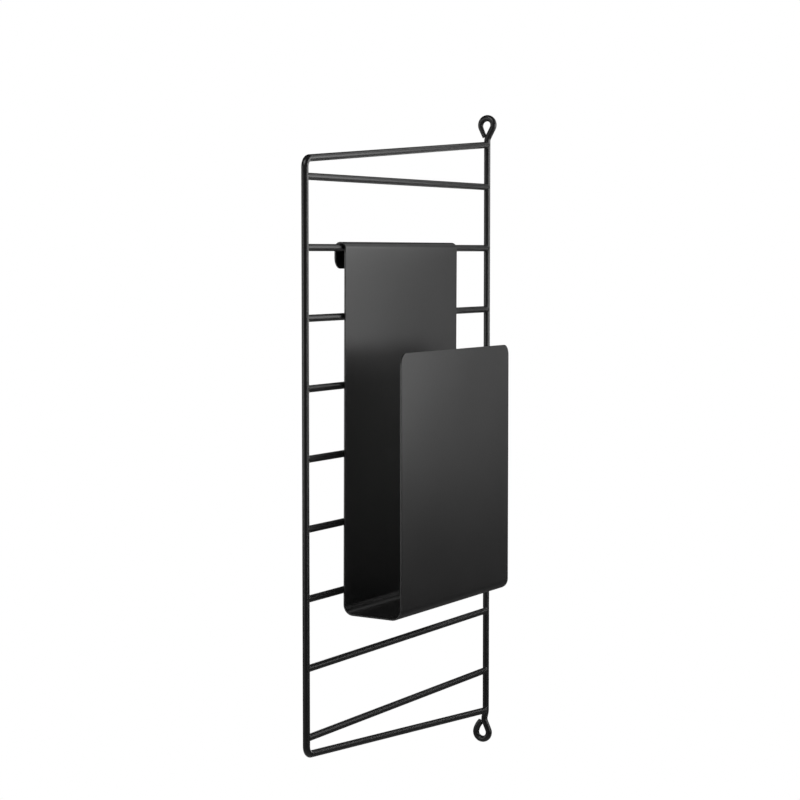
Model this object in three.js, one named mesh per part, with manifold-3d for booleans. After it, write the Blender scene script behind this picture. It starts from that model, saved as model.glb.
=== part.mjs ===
// Wall-hung wire ladder panel with a bent-sheet magazine pocket hooked over one of its rungs.
//
// Millimetres, +Z up. The wall is the plane y = 0 and the panel stands out from it along -Y,
// so the panel's own plane is x = 0. The pocket hangs on the +X side. The origin is the middle
// of the upper wall eye's opening, on the wall plane.

import * as THREE from "three";
import { mergeVertices } from "three/addons/utils/BufferGeometryUtils.js";
import Module from "manifold-3d";

const wasm = await Module();
wasm.setup();

// ---------------------------------------------------------------- driving dimensions

const WIRE_RADIUS = 2.6; // every wire, over its coating
const WIRE_SIDES = 20;
const WELD_GAP = 0.3; // a coped wire end stands this far off the wire it is welded to

const PANEL_DEPTH = 300; // from the wall to the front of the front upright
const RUNG_PITCH = 50;
const RUNG_COUNT = 9; // the first rung is one pitch below the origin
const RAIL_MIDDLE_Z = -249.7; // the two sloping rails are level with each other about this height
const RAIL_HALF_HEIGHT_FRONT = 212.2; // rail axis at the front upright
const RAIL_HALF_HEIGHT_REAR = 234.1; // rail axis at the rear upright
const FRAME_BEND_RADIUS = 6.5; // on the wire's axis, at both front corners

const SHEET = 1.3; // pocket sheet thickness
const POCKET_RUNG = 2; // the rung that the pocket hangs on, counted from the top
const POCKET_WIDTH = 180; // along the rung
const POCKET_MIDDLE_Y = -158.3; // nearer the front upright than the wall
const HOOK_INNER_RADIUS = 3.5;
const HOOK_OFFSET_X = 0.45; // hook's bend axis from the rung's axis
const HOOK_OFFSET_Z = -0.6; // leaves 0.15 mm between the hook and the top of the rung
const LIP_DROP = 15.3; // the lip's lower edge below the rung's axis
const FRONT_TOP_DROP = 75.7; // the front plate's upper edge below the rung's axis
const FLOOR_DROP_BACK = 267.9; // the floor's underside below the rung's axis
const FLOOR_DROP_FRONT = 269.3; // the floor falls a little towards the front plate
const FRONT_FACE_X = 50.85; // the front plate's outer face
const BACK_LEAN = 0.0046; // the back plate leans towards the lower rungs, mm per mm
const FLOOR_BEND_RADIUS = 7.2; // on the sheet's middle, at both ends of the floor
const CORNER_RADIUS = 8; // free corners of the lip and the front plate

// Wall eyes: teardrop loops in the XZ plane, ends of the rear upright.
const UPPER_EYE = {
  centre: [0, 0.5],
  radius: 5.6,
  legAngle: THREE.MathUtils.degToRad(28),
  legLength: 10.15, // from the loop to the corner above the rail
  endLength: 4.3,
};
const LOWER_EYE = {
  centre: [-3, -502.35],
  radius: 5.85,
  legAngle: THREE.MathUtils.degToRad(22),
  legLength: 8.9, // from the loop to the neck's corner
  endLength: 5.4,
  neckTopZ: -484.9, // where the upright starts to swing aside
};
const EYE_CORNER_RADIUS = 7;

const REAR_AXIS_Y = -WIRE_RADIUS;
const FRONT_AXIS_Y = WIRE_RADIUS - PANEL_DEPTH;
const POCKET_RUNG_Z = -POCKET_RUNG * RUNG_PITCH;

// ---------------------------------------------------------------- outlines

// Points of an arc about centre, from one angle to another, both ends included.
function arcPoints([cx, cy], radius, from, to, steps) {
  return Array.from({ length: steps + 1 }, (_, i) => {
    const angle = from + ((to - from) * i) / steps;
    return [cx + radius * Math.cos(angle), cy + radius * Math.sin(angle)];
  });
}

// A corner of a bent line, rounded to a radius between the directions to its two neighbours.
function roundedCorner(before, corner, after, radius, steps) {
  const at = new THREE.Vector2(...corner);
  const back = new THREE.Vector2(...before).sub(at).normalize();
  const ahead = new THREE.Vector2(...after).sub(at).normalize();
  const halfAngle = Math.acos(back.dot(ahead)) / 2;
  const bisector = back.clone().add(ahead).normalize();
  const centre = at.clone().addScaledVector(bisector, radius / Math.sin(halfAngle));
  const start = at.clone().addScaledVector(back, radius / Math.tan(halfAngle)).sub(centre);
  const turn = Math.sign(ahead.cross(back)) * (Math.PI - 2 * halfAngle);
  return arcPoints([centre.x, centre.y], radius, start.angle(), start.angle() + turn, steps);
}

// The middle line of a sheet made into a closed outline, half the sheet on each side of it.
function sheetOutline(middle, thickness) {
  const side = (sign) =>
    middle.map(([x, z], i) => {
      const [x0, z0] = middle[Math.max(i - 1, 0)];
      const [x1, z1] = middle[Math.min(i + 1, middle.length - 1)];
      const length = Math.hypot(x1 - x0, z1 - z0);
      const offset = (sign * thickness) / 2 / length;
      return new THREE.Vector2(x - (z1 - z0) * offset, z + (x1 - x0) * offset);
    });
  return new THREE.Shape([...side(1), ...side(-1).reverse()]);
}

// ---------------------------------------------------------------- solids

// A closed geometry as a manifold solid.
function solid(geometry) {
  const bare = new THREE.BufferGeometry();
  bare.setAttribute("position", geometry.getAttribute("position"));
  bare.setIndex(geometry.getIndex());
  const merged = mergeVertices(bare, 1e-4);
  return new wasm.Manifold(
    new wasm.Mesh({
      numProp: 3,
      vertProperties: new Float32Array(merged.getAttribute("position").array),
      triVerts: new Uint32Array(merged.getIndex().array),
    }),
  );
}

function geometryOf(manifold) {
  const mesh = manifold.getMesh();
  const geometry = new THREE.BufferGeometry();
  geometry.setAttribute("position", new THREE.BufferAttribute(mesh.vertProperties, 3));
  geometry.setIndex(new THREE.BufferAttribute(mesh.triVerts, 1));
  geometry.computeVertexNormals();
  return geometry;
}

// A wire's centre line, taken station by station: straight stretches are one step, bends many.
class WirePath extends THREE.Curve {
  constructor(stations) {
    super();
    this.stations = stations;
  }

  getPoint(t, target = new THREE.Vector3()) {
    return target.copy(this.stations[Math.round(t * (this.stations.length - 1))]);
  }

  getPointAt(u, target) {
    return this.getPoint(u, target);
  }

  getTangentAt(u, target = new THREE.Vector3()) {
    const last = this.stations.length - 1;
    const i = Math.round(u * last);
    const here = this.stations[i];
    const arriving = here.clone().sub(this.stations[Math.max(i - 1, 0)]).normalize();
    const leaving = this.stations[Math.min(i + 1, last)].clone().sub(here).normalize();
    return target.copy(arriving).add(leaving).normalize();
  }
}

// A round wire swept along its stations, with flat cut ends.
function wire(stations) {
  const section = new THREE.Shape(
    arcPoints([0, 0], WIRE_RADIUS, 0, 2 * Math.PI, WIRE_SIDES)
      .slice(0, -1)
      .map(([x, y]) => new THREE.Vector2(x, y)),
  );
  return new THREE.ExtrudeGeometry(section, {
    steps: stations.length - 1,
    extrudePath: new WirePath(stations),
    bevelEnabled: false,
  });
}

// The space around an upright that the ends of the wires welded to it are coped to.
function copeAround(axisY) {
  const height = RUNG_PITCH * (RUNG_COUNT + 2);
  const cutter = new THREE.CylinderGeometry(
    WIRE_RADIUS + WELD_GAP,
    WIRE_RADIUS + WELD_GAP,
    height,
    2 * WIRE_SIDES,
  );
  cutter.rotateX(Math.PI / 2);
  cutter.translate(0, axisY, -height / 2);
  return solid(cutter);
}

// ---------------------------------------------------------------- panel

const railZ = (side, half) => RAIL_MIDDLE_Z + side * half;

// Top rail, front upright and bottom rail: one wire bent at the two front corners.
function frontFrameGeometry() {
  const rear = (side) => [REAR_AXIS_Y, railZ(side, RAIL_HALF_HEIGHT_REAR)];
  const front = (side) => [FRONT_AXIS_Y, railZ(side, RAIL_HALF_HEIGHT_FRONT)];
  const line = [
    rear(1),
    ...roundedCorner(rear(1), front(1), front(-1), FRAME_BEND_RADIUS, 8),
    ...roundedCorner(front(1), front(-1), rear(-1), FRAME_BEND_RADIUS, 8),
    rear(-1),
  ];
  const stations = line.map(([y, z]) => new THREE.Vector3(0, y, z));
  return geometryOf(solid(wire(stations)).subtract(copeAround(REAR_AXIS_Y)));
}

// One end of the rear upright, in the XZ plane, from the cut end of the loop to the upright.
// side is 1 for the upper eye and -1 for the lower one.
function eyeLine(eye, side, corners) {
  const along = (angle, length) => {
    const [cx, cz] = eye.centre;
    const touchX = cx + eye.radius * Math.cos(angle);
    const touchZ = cz + eye.radius * Math.sin(angle);
    const away = Math.sign(Math.cos(angle));
    return [
      touchX - away * length * Math.sin(eye.legAngle),
      touchZ - side * length * Math.cos(eye.legAngle),
    ];
  };
  const legSide = -side * eye.legAngle;
  const endSide = side * (Math.PI + eye.legAngle);
  return [
    along(endSide, eye.endLength),
    ...arcPoints(eye.centre, eye.radius, endSide, legSide, 28),
    ...corners(along(legSide, 0), along(legSide, eye.legLength)),
  ];
}

// Rear upright: one wire with a wall eye bent at each end.
function rearUprightGeometry() {
  const mid = [0, RAIL_MIDDLE_Z];
  const upper = eyeLine(UPPER_EYE, 1, (leg, corner) =>
    roundedCorner(leg, [0, corner[1]], mid, EYE_CORNER_RADIUS, 5),
  );
  const lower = eyeLine(LOWER_EYE, -1, (leg, corner) => [
    ...roundedCorner(leg, corner, [0, LOWER_EYE.neckTopZ], EYE_CORNER_RADIUS, 5),
    ...roundedCorner(corner, [0, LOWER_EYE.neckTopZ], mid, 2 * EYE_CORNER_RADIUS, 3),
  ]);
  const stations = [...upper, ...lower.reverse()].map(
    ([x, z]) => new THREE.Vector3(x, REAR_AXIS_Y, z),
  );
  return wire(stations);
}

// A rung: a straight wire coped to both uprights.
const copes = [REAR_AXIS_Y, FRONT_AXIS_Y].map(copeAround);

function rungGeometry(z) {
  const length = REAR_AXIS_Y - FRONT_AXIS_Y;
  const bar = new THREE.CylinderGeometry(WIRE_RADIUS, WIRE_RADIUS, length, WIRE_SIDES);
  bar.translate(0, (REAR_AXIS_Y + FRONT_AXIS_Y) / 2, 0);
  bar.translate(0, 0, z);
  return geometryOf(copes.reduce((rest, cope) => rest.subtract(cope), solid(bar)));
}

// ---------------------------------------------------------------- pocket

// The sheet's middle line in the XZ plane, from the lip's edge over the rung, down the back
// plate, along the floor and up the front plate. x is from the panel's plane and z from the
// rung's axis.
function pocketMiddleLine() {
  const hookRadius = HOOK_INNER_RADIUS + SHEET / 2;
  const hook = [HOOK_OFFSET_X, HOOK_OFFSET_Z];
  const backTop = [HOOK_OFFSET_X + hookRadius, HOOK_OFFSET_Z];
  const floorBack = [
    backTop[0] - BACK_LEAN * (FLOOR_DROP_BACK - SHEET / 2),
    SHEET / 2 - FLOOR_DROP_BACK,
  ];
  const frontX = FRONT_FACE_X - SHEET / 2;
  const floorFront = [frontX, SHEET / 2 - FLOOR_DROP_FRONT];
  const frontTop = [frontX, -FRONT_TOP_DROP];
  return [
    [HOOK_OFFSET_X - hookRadius, -LIP_DROP],
    ...arcPoints(hook, hookRadius, Math.PI, 0, 20),
    ...roundedCorner(backTop, floorBack, floorFront, FLOOR_BEND_RADIUS, 10),
    ...roundedCorner(floorBack, floorFront, frontTop, FLOOR_BEND_RADIUS, 10),
    frontTop,
  ];
}

// What a rounded corner takes away: a block over the corner of a plate that stands in a YZ
// plane, less a quarter disc. inY and inZ are the directions from the corner into the plate.
function cornerWaste(fromX, toX, cornerY, cornerZ, inY, inZ) {
  const past = -1;
  const arc = arcPoints([CORNER_RADIUS, CORNER_RADIUS], CORNER_RADIUS, 1.5 * Math.PI, Math.PI, 10);
  const outline = [[CORNER_RADIUS, past], ...arc, [past, CORNER_RADIUS], [past, past]];
  const shape = new THREE.Shape(
    outline.map(([y, z]) => new THREE.Vector2(cornerY + inY * y, cornerZ + inZ * z)),
  );
  const waste = new THREE.ExtrudeGeometry(shape, { depth: toX - fromX, bevelEnabled: false });
  // The shape's x, y and depth become Y, Z and X.
  waste.rotateY(Math.PI / 2).rotateX(Math.PI / 2);
  waste.translate(fromX, 0, 0);
  return solid(waste);
}

// One sheet: hook, back plate, floor and front plate.
function pocketGeometry() {
  const sheet = new THREE.ExtrudeGeometry(sheetOutline(pocketMiddleLine(), SHEET), {
    depth: POCKET_WIDTH,
    bevelEnabled: false,
  });
  sheet.rotateX(Math.PI / 2);
  sheet.translate(0, POCKET_MIDDLE_Y + POCKET_WIDTH / 2, POCKET_RUNG_Z);

  const lipX = HOOK_OFFSET_X - HOOK_INNER_RADIUS - SHEET / 2;
  const frontX = FRONT_FACE_X - SHEET / 2;
  const ends = [
    { y: POCKET_MIDDLE_Y - POCKET_WIDTH / 2, inY: 1 },
    { y: POCKET_MIDDLE_Y + POCKET_WIDTH / 2, inY: -1 },
  ];
  const wastes = ends.flatMap(({ y, inY }) => [
    cornerWaste(lipX - SHEET, lipX + SHEET, y, POCKET_RUNG_Z - LIP_DROP, inY, 1),
    cornerWaste(frontX - SHEET, frontX + SHEET, y, POCKET_RUNG_Z - FRONT_TOP_DROP, inY, -1),
  ]);
  return geometryOf(wastes.reduce((rest, waste) => rest.subtract(waste), solid(sheet)));
}

// ---------------------------------------------------------------- assembly

function coated(colour) {
  return new THREE.MeshStandardMaterial({ color: colour, roughness: 0.55, metalness: 0.0 });
}

function part(name, geometry, colour) {
  const mesh = new THREE.Mesh(geometry, coated(colour));
  mesh.name = name;
  return mesh;
}

const CHARCOAL = 0x2c2c2d;

const panel = new THREE.Group();
panel.add(part("front_frame", frontFrameGeometry(), CHARCOAL));
panel.add(part("rear_upright", rearUprightGeometry(), CHARCOAL));
for (let rung = 1; rung <= RUNG_COUNT; rung += 1) {
  const name = `rung_${String(rung).padStart(2, "0")}`;
  panel.add(part(name, rungGeometry(-rung * RUNG_PITCH), CHARCOAL));
}

const rack = new THREE.Group();
rack.add(panel);
rack.add(part("magazine_pocket", pocketGeometry(), CHARCOAL));

export default rack;
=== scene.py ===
"""Visual model of a wall-hung wire ladder panel with a magazine pocket hooked over one rung.

Metres, +Z up. The wall is the plane y = 0 and the panel stands out from it along -Y in the plane
x = 0, with the pocket on its +X side. Every wire and the bent sheet is rebuilt as a fine mesh in
the place of its CAD node: smooth bends, weld fillets, cut wire ends and softened sheet edges.
"""

import math

import bmesh
import bpy
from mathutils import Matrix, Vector


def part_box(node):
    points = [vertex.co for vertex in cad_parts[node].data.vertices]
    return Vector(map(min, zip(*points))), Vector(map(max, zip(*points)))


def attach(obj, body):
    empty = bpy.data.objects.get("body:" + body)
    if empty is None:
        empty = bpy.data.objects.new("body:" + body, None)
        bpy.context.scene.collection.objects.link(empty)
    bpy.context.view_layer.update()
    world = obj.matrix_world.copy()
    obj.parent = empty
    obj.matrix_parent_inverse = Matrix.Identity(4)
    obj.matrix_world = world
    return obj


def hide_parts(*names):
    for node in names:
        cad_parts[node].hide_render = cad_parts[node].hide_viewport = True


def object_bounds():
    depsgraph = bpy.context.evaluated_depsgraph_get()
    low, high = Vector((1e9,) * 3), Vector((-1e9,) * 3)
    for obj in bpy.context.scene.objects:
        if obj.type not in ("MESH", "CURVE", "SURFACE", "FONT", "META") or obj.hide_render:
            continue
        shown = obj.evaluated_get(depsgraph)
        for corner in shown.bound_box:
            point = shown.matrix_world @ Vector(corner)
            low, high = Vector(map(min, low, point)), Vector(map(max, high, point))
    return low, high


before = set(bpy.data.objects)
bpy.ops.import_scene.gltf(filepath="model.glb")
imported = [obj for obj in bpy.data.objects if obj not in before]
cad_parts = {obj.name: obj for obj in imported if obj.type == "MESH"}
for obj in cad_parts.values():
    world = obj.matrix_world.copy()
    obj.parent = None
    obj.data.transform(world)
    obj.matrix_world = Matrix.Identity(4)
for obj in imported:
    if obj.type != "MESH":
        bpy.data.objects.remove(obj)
cad_low, cad_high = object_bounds()

X, Y, Z = Vector((1, 0, 0)), Vector((0, 1, 0)), Vector((0, 0, 1))
MM = 0.001


# ------------------------------------------------------------ sizes

RUNGS = sorted(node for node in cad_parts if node.startswith("rung_"))

rung_low, rung_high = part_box(RUNGS[0])
WIRE_RADIUS = (rung_high.z - rung_low.z) / 2
WIRE_SIDES = 48
BEND_STEPS = 20

rear_low, rear_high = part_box("rear_upright")
REAR_AXIS_Y = (rear_low.y + rear_high.y) / 2
FRONT_AXIS_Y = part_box("front_frame")[0].y + WIRE_RADIUS

RAIL_MIDDLE_Z = -249.7 * MM  # the two sloping rails are level with each other about this height
RAIL_HALF_HEIGHT_FRONT = 212.2 * MM
RAIL_HALF_HEIGHT_REAR = 234.1 * MM
FRAME_BEND_RADIUS = 6.5 * MM

WELD_FILLET = 0.9 * MM  # concave fillet of weld metal above and below a wire's end
WELD_STEPS = 7
WELD_OVERLAP = 0.3 * MM  # how far a welded end runs into the upright
CUT_ROUND = 0.45 * MM  # softened edge of a sheared wire end
CUT_STEPS = 5
END_FACE = 0.9  # a wire end's innermost ring, as a share of its radius

# Wall eyes: teardrop loops in the XZ plane at the ends of the rear upright. Each has a leg that
# leads to the upright, and a free leg that starts end_angle off vertical and turns by end_curl.
UPPER_EYE = {
    "centre": Vector((0, 0.5)) * MM,
    "radius": 5.6 * MM,
    "leg_angle": math.radians(28),
    "leg_length": 10.15 * MM,
    "end_angle": math.radians(26),
    "end_curl": 0.0,
    "end_length": 7.9 * MM,
    "end_radius": 1.85 * MM,  # the wire is drawn thinner towards its cut end
}
LOWER_EYE = {
    "centre": Vector((-3, -502.35)) * MM,
    "radius": 5.85 * MM,
    "leg_angle": math.radians(24),
    "leg_length": 9.6 * MM,
    "end_angle": math.radians(16),
    "end_curl": math.radians(28),  # the free leg bends on until it rests against the neck
    "end_length": 8.6 * MM,
    "end_radius": 2.6 * MM,
}
LOWER_NECK_TOP_Z = -484.9 * MM  # where the upright starts to swing aside
EYE_CORNER_RADIUS = 7 * MM
NECK_CORNER_RADIUS = 14 * MM
EYE_STEPS = 72
FREE_LEG_STEP = 0.5 * MM

pocket_low, pocket_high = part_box("magazine_pocket")
SHEET = 1.3 * MM
SHEET_EDGE = 0.25 * MM  # rounded edge of the coated sheet
POCKET_WIDTH = pocket_high.y - pocket_low.y
POCKET_MIDDLE_Y = (pocket_high.y + pocket_low.y) / 2
HOOK_RADIUS = 4.15 * MM  # on the sheet's middle
HOOK_AXIS = Vector((pocket_low.x + SHEET / 2 + HOOK_RADIUS, pocket_high.z - SHEET / 2 - HOOK_RADIUS))
POCKET_RUNG_Z = sum(corner.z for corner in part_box("rung_02")) / 2
LIP_DROP = 15.3 * MM  # each drop is measured down from the rung's axis
FRONT_TOP_DROP = 75.7 * MM
FLOOR_DROP_BACK = 267.9 * MM
FLOOR_DROP_FRONT = 269.3 * MM
BACK_LEAN = 0.0046  # of the back plate towards the lower rungs
FLOOR_BEND_RADIUS = 7.2 * MM  # on the sheet's middle
CORNER_RADIUS = 8 * MM  # free corners of the lip and the front plate
CORNER_STEPS = 14
PLATE_STEP = 12 * MM  # longest mesh face on the flat plates
END_ROWS = 5  # mesh rows between a free end and the last row that runs straight across
EDGE_STEPS = 4  # mesh steps from a face of the sheet to the middle of its edge


# ------------------------------------------------------------ outlines

def arc_points(centre, radius, start, end, steps):
    """Points of an arc from one angle to another, both ends included."""
    angles = [start + (end - start) * i / steps for i in range(steps + 1)]
    return [centre + radius * Vector((math.cos(a), math.sin(a))) for a in angles]


def rounded_corner(before, corner, after, radius, steps):
    """A corner of a bent line, as an arc that touches both of its straight stretches."""
    back = (before - corner).normalized()
    ahead = (after - corner).normalized()
    half_angle = back.angle(ahead) / 2
    centre = corner + (back + ahead).normalized() * radius / math.sin(half_angle)
    start = corner + back * radius / math.tan(half_angle) - centre
    turn = math.copysign(math.pi - 2 * half_angle, ahead.x * back.y - ahead.y * back.x)
    start_angle = math.atan2(start.y, start.x)
    return arc_points(centre, radius, start_angle, start_angle + turn, steps)


# ------------------------------------------------------------ meshes

def mesh_object(name, vertices, faces):
    """A smooth-shaded closed mesh with its faces turned outwards."""
    mesh = bpy.data.meshes.new(name)
    mesh.from_pydata([tuple(v) for v in vertices], [], faces)
    work = bmesh.new()
    work.from_mesh(mesh)
    bmesh.ops.recalc_face_normals(work, faces=work.faces)
    work.to_mesh(mesh)
    work.free()
    mesh.polygons.foreach_set("use_smooth", [True] * len(mesh.polygons))
    piece = bpy.data.objects.new(name, mesh)
    bpy.context.scene.collection.objects.link(piece)
    return piece


def skin(name, rings):
    """A closed mesh over a row of rings, its two ends closed by a fan of triangles."""
    sides = len(rings[0])
    vertices = [point for ring in rings for point in ring]
    faces = []
    for row in range(len(rings) - 1):
        for side in range(sides):
            a = row * sides + side
            b = row * sides + (side + 1) % sides
            faces.append((a, b, b + sides, a + sides))
    for row in (0, len(rings) - 1):
        middle = len(vertices)
        vertices.append(sum(rings[row], Vector()) / sides)
        for side in range(sides):
            faces.append((middle, row * sides + side, row * sides + (side + 1) % sides))
    return mesh_object(name, vertices, faces)


def wire_ring(centre, across, up, across_radius, up_radius):
    """One ring of a wire's skin about its centre line."""
    angles = [2 * math.pi * i / WIRE_SIDES for i in range(WIRE_SIDES)]
    return [
        centre + across * across_radius * math.cos(a) + up * up_radius * math.sin(a)
        for a in angles
    ]


def swept_rings(stations, across, radii):
    """Rings along a centre line that lies in the plane square to across."""
    rings = []
    last = len(stations) - 1
    for i, station in enumerate(stations):
        along = (stations[min(i + 1, last)] - stations[max(i - 1, 0)]).normalized()
        up = across.cross(along)
        rings.append(wire_ring(station, across, up, radii[i], radii[i]))
    return rings


def cut_end(end, outwards, across, radius):
    """Rings of a sheared wire end with a softened edge, from the wire's side to its flat face."""
    up = across.cross(outwards)
    rings = []
    for step in range(1, CUT_STEPS + 1):
        angle = math.pi / 2 * step / CUT_STEPS
        reach = CUT_ROUND * (math.sin(angle) - 1)
        rim = radius - CUT_ROUND * (1 - math.cos(angle))
        rings.append(wire_ring(end + outwards * reach, across, up, rim, rim))
    face = rim * END_FACE
    rings.append(wire_ring(end, across, up, face, face))
    return rings


def welded_end(start, along, upright_y):
    """Rings of a wire end that meets a vertical upright in a saddle with a weld fillet.

    start is a point on the wire's centre line and along its direction towards the upright. The
    fillet widens the wire up and down only: at its sides both wires are flush.
    """
    up = X.cross(along)
    side = math.copysign(1, along.y)

    def on_upright(offset, sunk):
        reach = math.sqrt(max(WIRE_RADIUS**2 - offset.x**2, 0))
        travel = (upright_y - side * reach - start.y - offset.y) / along.y
        return start + offset + along * (travel + sunk)

    rings = []
    for step in range(WELD_STEPS + 1):
        angle = math.pi / 2 * step / WELD_STEPS
        gap = WELD_FILLET * (1 - math.sin(angle))
        spread = WIRE_RADIUS + WELD_FILLET * (1 - math.cos(angle))
        flat_ring = wire_ring(Vector(), X, up, WIRE_RADIUS, spread)
        rings.append([on_upright(offset, -gap) for offset in flat_ring])
    face = WIRE_RADIUS * END_FACE
    inner = wire_ring(Vector(), X, up, face, face)
    rings.append([on_upright(offset, WELD_OVERLAP) for offset in inner])
    return rings


def leading_end(rings):
    """A wire's first end, which is made outwards like its last, as rings that lead into it."""
    return [[ring[-i % WIRE_SIDES] for i in range(WIRE_SIDES)] for ring in reversed(rings)]


# ------------------------------------------------------------ panel

def rung_piece(name):
    """A straight wire welded to both uprights."""
    height = sum(corner.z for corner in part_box(name)) / 2
    middle = Vector((0, (REAR_AXIS_Y + FRONT_AXIS_Y) / 2, height))
    front = welded_end(middle, -Y, FRONT_AXIS_Y)
    rear = welded_end(middle, Y, REAR_AXIS_Y)
    # Both ends turn the same way round the rung once the front one is mirrored in height.
    front = [[Vector((p.x, p.y, 2 * height - p.z)) for p in ring] for ring in front]
    return skin(name + "_wire", front[::-1] + rear)


def front_frame_piece():
    """Top rail, front upright and bottom rail: one wire with both its ends on the rear upright."""
    def corner(side, y, half_height):
        return Vector((y, RAIL_MIDDLE_Z + side * half_height))

    rear_top, rear_bottom = (corner(s, REAR_AXIS_Y, RAIL_HALF_HEIGHT_REAR) for s in (1, -1))
    front_top, front_bottom = (corner(s, FRONT_AXIS_Y, RAIL_HALF_HEIGHT_FRONT) for s in (1, -1))
    line = rounded_corner(rear_top, front_top, front_bottom, FRAME_BEND_RADIUS, BEND_STEPS)
    line += rounded_corner(front_top, front_bottom, rear_bottom, FRAME_BEND_RADIUS, BEND_STEPS)
    stations = [Vector((0, p.x, p.y)) for p in line]

    # The rails' directions at both ends keep the first and last ring square to them.
    ends = [Vector((0, p.x, p.y)) for p in (rear_top, rear_bottom)]
    body = swept_rings([ends[0], *stations, ends[1]], X, [WIRE_RADIUS] * (len(stations) + 2))[1:-1]
    start = welded_end(stations[0], (ends[0] - stations[0]).normalized(), REAR_AXIS_Y)
    finish = welded_end(stations[-1], (ends[1] - stations[-1]).normalized(), REAR_AXIS_Y)
    return skin("front_frame_wire", leading_end(start) + body + finish)


def eye_line(eye, side):
    """One wall eye in the XZ plane: its free leg, its loop and the corner of its other leg.

    side is 1 for the upper eye and -1 for the lower one. The free leg starts at its cut end.
    """
    end_touch = side * (math.pi + eye["end_angle"])
    leg_touch = -side * eye["leg_angle"]
    loop = arc_points(eye["centre"], eye["radius"], end_touch, leg_touch, EYE_STEPS)
    steps = math.ceil(eye["end_length"] / FREE_LEG_STEP)
    free = [loop[0]]
    for i in range(steps):
        angle = eye["end_angle"] + eye["end_curl"] * (i + 0.5) / steps
        along = Vector((math.sin(angle), -side * math.cos(angle)))
        free.append(free[-1] + along * eye["end_length"] / steps)
    to_corner = Vector((-math.sin(eye["leg_angle"]), -side * math.cos(eye["leg_angle"])))
    return free[:0:-1], loop, loop[-1] + to_corner * eye["leg_length"]


def wall_eye(eye, side):
    """A wall eye's centre line from its cut end on, the wire's radii and the corner of its leg.

    The radii cover the free leg and half of the loop, where the wire may be drawn thinner towards
    its cut end. Those points move outwards as it thins, so that the loop's outer line stays round.
    """
    free, loop, corner = eye_line(eye, side)
    points = free + loop[: EYE_STEPS // 2]
    radii, moved = [], []
    last = len(points) - 1
    for i, point in enumerate(points):
        share = i / last
        ease = share * share * (3 - 2 * share)
        radius = eye["end_radius"] + (WIRE_RADIUS - eye["end_radius"]) * ease
        along = (points[min(i + 1, last)] - points[max(i - 1, 0)]).normalized()
        outwards = Vector((-along.y, along.x)) * side
        radii.append(radius)
        moved.append(point + outwards * (WIRE_RADIUS - radius))
    return moved + loop[EYE_STEPS // 2 :], radii, corner


def rear_upright_piece():
    """Rear upright: one wire with a wall eye bent at each end."""
    middle = Vector((0, RAIL_MIDDLE_Z))

    upper, upper_radii, corner = wall_eye(UPPER_EYE, 1)
    upright_top = Vector((0, corner.y))
    upper += rounded_corner(upper[-1], upright_top, middle, EYE_CORNER_RADIUS, BEND_STEPS)

    lower, lower_radii, corner = wall_eye(LOWER_EYE, -1)
    neck_top = Vector((0, LOWER_NECK_TOP_Z))
    lower += rounded_corner(lower[-1], corner, neck_top, EYE_CORNER_RADIUS, BEND_STEPS)
    lower += rounded_corner(corner, neck_top, middle, NECK_CORNER_RADIUS, BEND_STEPS)

    full_count = len(upper) + len(lower) - len(upper_radii) - len(lower_radii)
    radii = upper_radii + [WIRE_RADIUS] * full_count + lower_radii[::-1]
    stations = [Vector((p.x, REAR_AXIS_Y, p.y)) for p in upper + lower[::-1]]
    first = (stations[0] - stations[1]).normalized()
    last = (stations[-1] - stations[-2]).normalized()
    start = cut_end(stations[0], first, Y, radii[0])
    finish = cut_end(stations[-1], last, Y, radii[-1])
    # The cut ends' rounding takes up the last stretch before each end.
    stations[0] = stations[0] - first * CUT_ROUND
    stations[-1] = stations[-1] - last * CUT_ROUND
    body = swept_rings(stations, Y, radii)
    return skin("rear_upright_wire", leading_end(start) + body + finish)


# ------------------------------------------------------------ pocket

class SheetLine:
    """The bent sheet's middle line in the XZ plane, measured along its developed length."""

    def __init__(self, points):
        self.points = points
        self.marks = [0.0]
        for a, b in zip(points, points[1:]):
            self.marks.append(self.marks[-1] + (b - a).length)
        self.length = self.marks[-1]

    def tangent(self, i):
        last = len(self.points) - 1
        arriving = self.points[i] - self.points[i - 1] if i else None
        leaving = self.points[i + 1] - self.points[i] if i < last else None
        if arriving is None or leaving is None:
            return (arriving or leaving).normalized()
        return (arriving.normalized() + leaving.normalized()).normalized()

    def at(self, mark):
        """Place and direction at a length along the line, which must not fall inside a bend."""
        i = max(k for k, m in enumerate(self.marks) if m <= mark + 1e-9)
        if abs(self.marks[i] - mark) < 1e-9:
            return self.points[i], self.tangent(i)
        along = (self.points[i + 1] - self.points[i]).normalized()
        return self.points[i] + along * (mark - self.marks[i]), along


def pocket_line():
    """From the lip's edge over the rung, down the back plate, along the floor and up the front."""
    hook_back = HOOK_AXIS + Vector((HOOK_RADIUS, 0))
    back_height = FLOOR_DROP_BACK - SHEET / 2
    front_x = pocket_high.x - SHEET / 2
    lip_edge = Vector((HOOK_AXIS.x - HOOK_RADIUS, POCKET_RUNG_Z - LIP_DROP))
    floor_back = Vector((hook_back.x - BACK_LEAN * back_height, POCKET_RUNG_Z - back_height))
    floor_front = Vector((front_x, POCKET_RUNG_Z - FLOOR_DROP_FRONT + SHEET / 2))
    front_top = Vector((front_x, POCKET_RUNG_Z - FRONT_TOP_DROP))
    return SheetLine([
        lip_edge,
        *arc_points(HOOK_AXIS, HOOK_RADIUS, math.pi, 0, 2 * BEND_STEPS),
        *rounded_corner(hook_back, floor_back, floor_front, FLOOR_BEND_RADIUS, BEND_STEPS),
        *rounded_corner(floor_back, floor_front, front_top, FLOOR_BEND_RADIUS, BEND_STEPS),
        front_top,
    ])


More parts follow.
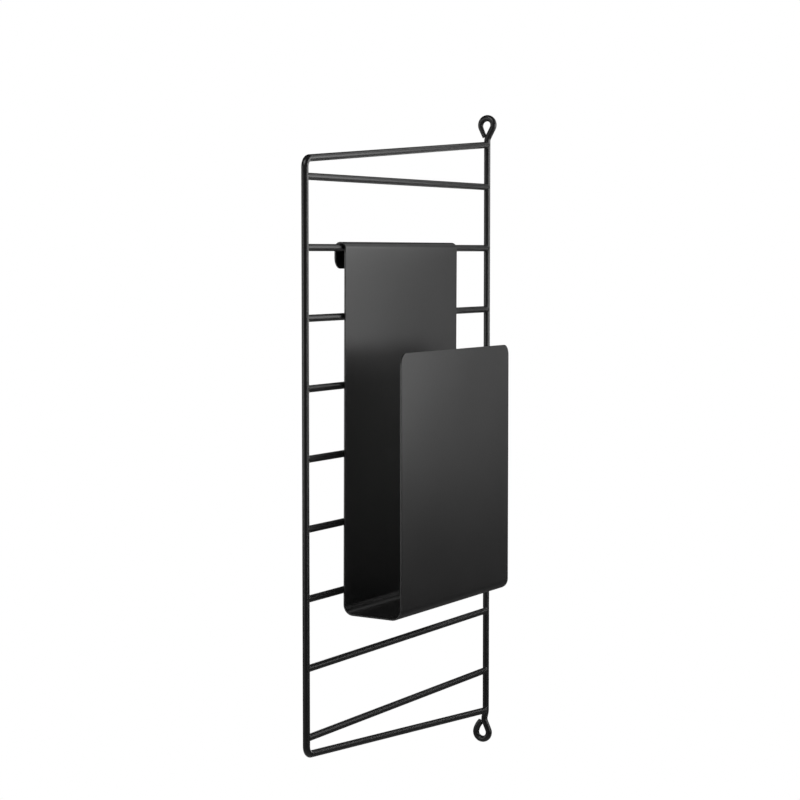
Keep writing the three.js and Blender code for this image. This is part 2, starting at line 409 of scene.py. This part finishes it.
def sheet_rows(line):
    """Lengths along the sheet's line at which the mesh has a row: every bend point, and steps."""
    inset = SHEET_EDGE + CORNER_RADIUS
    stops = sorted({inset, *line.marks[1:-1], line.length - inset})
    rows = []
    for a, b in zip(stops, stops[1:]):
        steps = max(1, math.ceil((b - a) / PLATE_STEP))
        rows += [a + (b - a) * i / steps for i in range(steps)]
    return rows + [stops[-1]]


def sheet_columns():
    """Columns of the mesh across the sheet, each as three numbers.

    They are its place across, how far the free corners' arcs pull its two ends back, and the way
    the border faces at those ends: 0 is square to the sheet's side and pi / 2 is endways.
    """
    radius = CORNER_RADIUS - SHEET_EDGE
    half = POCKET_WIDTH / 2 - SHEET_EDGE
    turn = [math.pi / 2 * i / CORNER_STEPS for i in range(CORNER_STEPS + 1)]
    left = [(-half + radius * (1 - math.cos(a)), radius * (1 - math.sin(a)), a) for a in turn]
    right = [(-across, back, math.pi - a) for across, back, a in reversed(left)]
    flat = half - radius
    steps = math.ceil(2 * flat / PLATE_STEP)
    middle = [(-flat + 2 * flat * i / steps, 0.0, math.pi / 2) for i in range(1, steps)]
    return left + middle + right


def column_marks(line, rows, back):
    """Lengths along the sheet's line of one column's points, its two ends pulled in by back."""
    low = SHEET_EDGE + back
    high = line.length - SHEET_EDGE - back
    first = [low + (rows[0] - low) * i / END_ROWS for i in range(END_ROWS)]
    final = [rows[-1] + (high - rows[-1]) * (i + 1) / END_ROWS for i in range(END_ROWS)]
    return first + rows + final


def sheet_border(columns, last_row):
    """The grid's border in order: column, row and the way out in the flat sheet (along, across)."""
    last_column = len(columns) - 1
    lip = [(c, 0, (-math.sin(a), -math.cos(a))) for c, (_, _, a) in enumerate(columns)]
    right = [(last_column, r, (0, 1)) for r in range(1, last_row)]
    front = [(c, last_row, (math.sin(a), -math.cos(a))) for c, (_, _, a) in enumerate(columns)]
    left = [(0, r, (0, -1)) for r in range(1, last_row)]
    return lip + right + front[::-1] + left[::-1]


def pocket_piece():
    """The pocket: a grid over the flat sheet, bent along its line and closed round its edges.

    The grid's first and last rows follow the free corners' arcs. Both faces carry the same grid,
    and a band with rounded edges joins them along the border.
    """
    line = pocket_line()
    columns = sheet_columns()
    rows = sheet_rows(line)
    grid = [column_marks(line, rows, back) for _, back, _ in columns]
    count_rows, count_columns = len(grid[0]), len(columns)
    vertices, faces, normals = [], [], []

    def place(column, row, out, reach, height, normal):
        """Adds a vertex at a grid point moved out by reach, and up from the sheet's middle."""
        point, along = line.at(grid[column][row])
        face = Vector((-along.y, along.x))
        spot = point + along * out[0] * reach + face * height
        across = POCKET_MIDDLE_Y + columns[column][0] + out[1] * reach
        vertices.append(Vector((spot.x, across, spot.y)))
        flat_part = along * normal[0] + face * normal[2]
        normals.append(Vector((flat_part.x, normal[1], flat_part.y)).normalized())
        return len(vertices) - 1

    sides = {}
    for sign in (1, -1):
        for c in range(count_columns):
            for r in range(count_rows):
                sides[sign, c, r] = place(c, r, (0, 0), 0, sign * SHEET / 2, (0, 0, sign))
        for c in range(count_columns - 1):
            for r in range(count_rows - 1):
                corners = [(c, r), (c + 1, r), (c + 1, r + 1), (c, r + 1)]
                faces.append(tuple(sides[sign, *corner] for corner in corners))

    angles = [math.pi / 2 * step / EDGE_STEPS for step in range(1, EDGE_STEPS + 1)]
    profile = [(1, angle) for angle in angles] + [(-1, angle) for angle in reversed(angles)]
    bands = []
    for c, r, out in sheet_border(columns, count_rows - 1):
        band = [sides[1, c, r]]
        for sign, angle in profile:
            outwards, upwards = math.sin(angle), math.cos(angle)
            height = sign * (SHEET / 2 - SHEET_EDGE * (1 - upwards))
            normal = (out[0] * outwards, out[1] * outwards, sign * upwards)
            band.append(place(c, r, out, SHEET_EDGE * outwards, height, normal))
        band.append(sides[-1, c, r])
        bands.append(band)
    for a, b in zip(bands, bands[1:] + bands[:1]):
        for k in range(len(a) - 1):
            faces.append((a[k], b[k], b[k + 1], a[k + 1]))

    piece = mesh_object("magazine_pocket_sheet", vertices, faces)
    piece.data.normals_split_custom_set_from_vertices([tuple(n) for n in normals])
    return piece


# ------------------------------------------------------------ materials

class Nodes:
    """Short hand for building one material's node tree."""

    def __init__(self, name):
        self.material = bpy.data.materials.new(name)
        self.material.use_nodes = True
        self.tree = self.material.node_tree
        self.shader = self.tree.nodes["Principled BSDF"]

    def add(self, kind, inputs=None, **settings):
        node = self.tree.nodes.new(kind)
        for key, value in settings.items():
            setattr(node, key, value)
        for key, value in (inputs or {}).items():
            if isinstance(value, bpy.types.NodeSocket):
                self.tree.links.new(value, node.inputs[key])
            else:
                node.inputs[key].default_value = value
        return node

    def noise(self, place, size, detail):
        """Noise whose features are about this many metres apart."""
        return self.add(
            "ShaderNodeTexNoise", {"Vector": place, "Scale": 1 / size, "Detail": detail}
        ).outputs["Fac"]

    def span(self, value, low, high, from_low=0.3, from_high=0.7):
        """A noise value spread over the range low to high."""
        return self.add(
            "ShaderNodeMapRange",
            {
                "Value": value,
                "From Min": from_low,
                "From Max": from_high,
                "To Min": low,
                "To Max": high,
            },
        ).outputs["Result"]

    def drive(self, socket, output):
        self.tree.links.new(output, self.shader.inputs[socket])


CHARCOAL = (0.015, 0.0148, 0.015)
COAT_ROUGHNESS = 0.33
COAT_IOR = 1.5
CLOUD_SIZE = 90 * MM  # slow change of tone and gloss over the surface
CLOUD_TONE = 0.1  # share of CHARCOAL by which the clouds go up and down
CLOUD_GLOSS = 0.015  # amount by which the clouds move the roughness up and down
GRAIN_TONE = 2.2  # a speck's own tone, as a multiple of CHARCOAL
GRAIN_COVER = 0.16  # most of a speck's own tone that is mixed in
GRAIN_RANGE = (0.5, 0.75)  # noise values at which a speck begins and is whole
GRAIN_GLOSS = 0.03


def powder_coat(name, grain, peel, grain_height, peel_height):
    """Satin charcoal powder coat: cured grain over a slow orange peel, with a slight cloud in it.

    grain and peel are the sizes of their features, and the heights are how far they stand up.
    """
    def shade(share):
        return (*[channel * share for channel in CHARCOAL], 1)

    nodes = Nodes(name)
    place = nodes.add("ShaderNodeTexCoord").outputs["Object"]
    cloud = nodes.noise(place, CLOUD_SIZE, detail=3)
    speck = nodes.noise(place, grain, detail=1)
    waves = nodes.noise(place, peel, detail=2)

    clouded = nodes.add("ShaderNodeValToRGB", {"Fac": nodes.span(cloud, 0.0, 1.0)})
    clouded.color_ramp.elements[0].color = shade(1 - CLOUD_TONE)
    clouded.color_ramp.elements[1].color = shade(1 + CLOUD_TONE)
    speckled = nodes.add(
        "ShaderNodeMix",
        {
            "Factor": nodes.span(speck, 0.0, GRAIN_COVER, *GRAIN_RANGE),
            "A": clouded.outputs["Color"],
        },
        data_type="RGBA",
    )
    speckled.inputs["B"].default_value = shade(GRAIN_TONE)
    nodes.drive("Base Color", speckled.outputs[2])

    cloud_gloss = nodes.span(cloud, -CLOUD_GLOSS, CLOUD_GLOSS)
    grain_gloss = nodes.span(speck, COAT_ROUGHNESS - GRAIN_GLOSS, COAT_ROUGHNESS + GRAIN_GLOSS)
    gloss = nodes.add("ShaderNodeMath", {0: cloud_gloss, 1: grain_gloss}, operation="ADD")
    nodes.drive("Roughness", gloss.outputs["Value"])

    coarse = nodes.add(
        "ShaderNodeBump", {"Height": waves, "Distance": peel_height, "Strength": 1.0}
    )
    fine = nodes.add(
        "ShaderNodeBump",
        {
            "Height": speck,
            "Distance": grain_height,
            "Strength": 1.0,
            "Normal": coarse.outputs["Normal"],
        },
    )
    nodes.drive("Normal", fine.outputs["Normal"])
    nodes.shader.inputs["IOR"].default_value = COAT_IOR
    nodes.shader.inputs["Specular IOR Level"].default_value = 0.5
    return nodes.material


# ------------------------------------------------------------ studio

def aim(thing, place, target):
    """Puts a camera or light at a place, its -Z axis at the target and its Y axis up."""
    thing.location = place
    thing.rotation_mode = "QUATERNION"
    thing.rotation_quaternion = (target - place).to_track_quat("-Z", "Y")


def direction(azimuth, elevation):
    """Unit vector for an azimuth and an elevation in degrees. Azimuth 0 is -Y and 90 is +X."""
    a, e = math.radians(azimuth), math.radians(elevation)
    return Vector((math.sin(a) * math.cos(e), -math.cos(a) * math.cos(e), math.sin(e)))


def soft_light(name, azimuth, elevation, distance, size, power, target=None):
    """A square soft box that looks at a point, or at the rack's middle when none is given.

    The camera doesn't see the box itself.
    """
    data = bpy.data.lights.new(name, "AREA")
    data.shape = "SQUARE"
    data.size = size
    data.energy = power
    lamp = bpy.data.objects.new(name, data)
    lamp.visible_camera = False
    bpy.context.scene.collection.objects.link(lamp)
    target = target or (cad_low + cad_high) / 2
    aim(lamp, target + direction(azimuth, elevation) * distance, target)


def studio_world(seen, lighting):
    """White where the camera sees it, and a dimmer even light on the rack."""
    world = bpy.data.worlds.new("studio")
    world.use_nodes = True
    bpy.context.scene.world = world
    tree = world.node_tree
    tree.nodes.clear()
    output = tree.nodes.new("ShaderNodeOutputWorld")
    mix = tree.nodes.new("ShaderNodeMixShader")
    path = tree.nodes.new("ShaderNodeLightPath")
    shades = []
    for strength in (lighting, seen):
        shade = tree.nodes.new("ShaderNodeBackground")
        shade.inputs["Color"].default_value = (1, 1, 1, 1)
        shade.inputs["Strength"].default_value = strength
        shades.append(shade)
    tree.links.new(path.outputs["Is Camera Ray"], mix.inputs["Fac"])
    tree.links.new(shades[0].outputs["Background"], mix.inputs[1])
    tree.links.new(shades[1].outputs["Background"], mix.inputs[2])
    tree.links.new(mix.outputs["Shader"], output.inputs["Surface"])


def studio_floor(drop, radius):
    """A round pale floor below the hanging rack."""
    mesh = bpy.data.meshes.new("studio_floor")
    work = bmesh.new()
    bmesh.ops.create_circle(work, cap_ends=True, radius=radius, segments=96)
    work.to_mesh(mesh)
    work.free()
    floor = bpy.data.objects.new("studio_floor", mesh)
    floor.location = (0, 0, cad_low.z - drop)
    bpy.context.scene.collection.objects.link(floor)
    nodes = Nodes("studio_floor_white")
    nodes.shader.inputs["Base Color"].default_value = (0.9, 0.9, 0.9, 1)
    nodes.shader.inputs["Roughness"].default_value = 0.9
    nodes.shader.inputs["Specular IOR Level"].default_value = 0.1
    seen = nodes.add("ShaderNodeLightPath").outputs["Is Camera Ray"]
    glow = nodes.add("ShaderNodeEmission", {"Color": (1, 1, 1, 1), "Strength": 1.0})
    mix = nodes.add("ShaderNodeMixShader", {0: seen, 1: nodes.shader.outputs[0], 2: glow.outputs[0]})
    output = nodes.tree.nodes["Material Output"]
    nodes.tree.links.new(mix.outputs["Shader"], output.inputs["Surface"])
    mesh.materials.append(nodes.material)


CAMERA_LENS = 99.507  # millimetres of focal length, on a sensor 36 mm wide
CAMERA_PLACE = Vector((0.790731, -1.644076, -0.103653))
CAMERA_AZIMUTH = 27.9676
CAMERA_TILT = 3.8117  # degrees downwards


def camera():
    """Nearly level, from the pocket's side of the panel's front edge."""
    data = bpy.data.cameras.new("camera")
    data.sensor_width = 36
    data.lens = CAMERA_LENS
    data.clip_start, data.clip_end = 0.05, 60
    eye = bpy.data.objects.new("camera", data)
    bpy.context.scene.collection.objects.link(eye)
    aim(eye, CAMERA_PLACE, CAMERA_PLACE - direction(CAMERA_AZIMUTH, CAMERA_TILT))
    bpy.context.scene.camera = eye


# ------------------------------------------------------------ assembly

wire_coat = powder_coat(
    "wire_powder_coat_fine",
    grain=0.5 * MM,
    peel=2.2 * MM,
    grain_height=0.003 * MM,
    peel_height=0.01 * MM,
)
sheet_coat = powder_coat(
    "sheet_powder_coat_fine",
    grain=0.5 * MM,
    peel=2.4 * MM,
    grain_height=0.02 * MM,
    peel_height=0.03 * MM,
)


def dress(piece, coat, body, node):
    """Coats a piece, hangs it on the empty of the body it rides on and hides the CAD node it stands
    for.
    """
    piece.data.materials.append(coat)
    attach(piece, body)
    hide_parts(node)


dress(front_frame_piece(), wire_coat, "panel", "front_frame")
dress(rear_upright_piece(), wire_coat, "panel", "rear_upright")
for rung in RUNGS:
    dress(rung_piece(rung), wire_coat, "panel", rung)
dress(pocket_piece(), sheet_coat, "pocket", "magazine_pocket")

bpy.context.scene.view_settings.view_transform = "Standard"
studio_world(seen=1.0, lighting=0.025)
studio_floor(drop=0.9, radius=12)

# Name, azimuth, elevation, distance, size and watts. The first nine lights' watts were fitted to
# the photograph's shading. The last two light the sides of the rack that it doesn't show.
pocket_side = Vector((0.02, -0.15, 0))
soft_light("plates_back", 175, 0, 1.5, 0.35, 0.96)
soft_light("plates_side", 140, 0, 1.5, 0.35, 0.4)
soft_light("plates_low", 120, 0, 0.6, 0.4, 1.62, pocket_side - Z * 0.1)
soft_light("plates_high", 135, 0, 0.6, 0.4, 1.08, pocket_side + Z * 0.12)
soft_light("wires_top", 170, 40, 1.5, 0.5, 0.74)
soft_light("wires_back", 188, -10, 1.5, 0.35, 1.01)
soft_light("wires_right", 80, 0, 1.5, 0.4, 2.39)
soft_light("wires_left", 330, 0, 1.2, 0.4, 1.86)
soft_light("front_fill", 0, 45, 2, 1, 13.47)
soft_light("rear_fill", 225, 5, 1.5, 0.8, 3)
soft_light("far_side_fill", 292, 5, 2.5, 1, 6)
camera()
